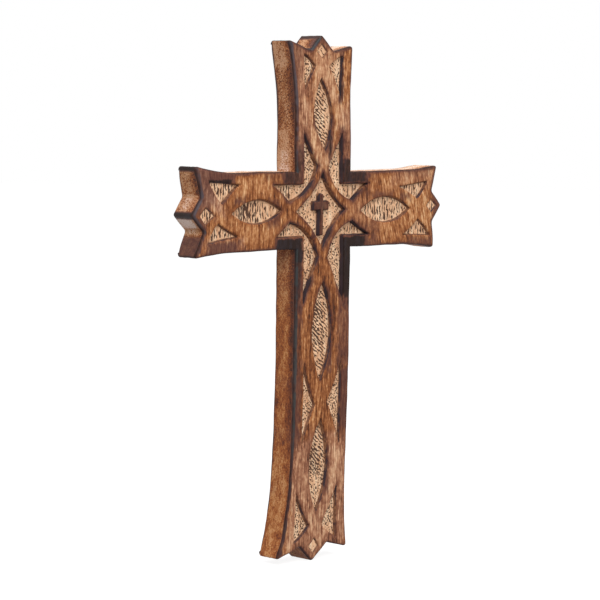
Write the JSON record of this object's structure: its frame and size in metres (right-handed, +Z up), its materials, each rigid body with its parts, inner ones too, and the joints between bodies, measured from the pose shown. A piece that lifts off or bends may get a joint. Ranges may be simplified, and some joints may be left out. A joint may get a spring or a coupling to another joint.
{
  "type": "wall cross",
  "caption": "Carved wooden wall cross with notched, flared ends and sunk leaf and dart recesses, and a swinging hanging ring let into its back.",
  "frame": {"origin": "the middle of the crossing, on the flat back that lies against the wall", "axes": "+Z up the post towards the head, +Y out of the back towards the wall, +X towards the arm on the right of someone who faces the carved front"},
  "size_m": [0.2034, 0.0174, 0.3053],
  "materials": {
    "mango_wood": "brown stain, rubbed back, with scorched margins and arrises and pale bare recess floors",
    "dowel_wood": "plain beech",
    "brass": "dull brass wire"
  },
  "bodies": {
    "cross": {"post": "mango_wood", "arm_left": "mango_wood", "arm_right": "mango_wood", "dowel_left_upper": "dowel_wood", "dowel_left_lower": "dowel_wood", "dowel_right_upper": "dowel_wood", "dowel_right_lower": "dowel_wood", "hanger_staple": "brass"},
    "ring": {"hanger_ring": "brass"}
  },
  "joints": [
    {"name": "ring_swing", "type": "hinge", "parent": "cross", "child": "ring", "pos_m": [0, -0.0036, 0.066], "axis": [1, 0, 0], "range_deg": [-4, 184]}
  ]
}
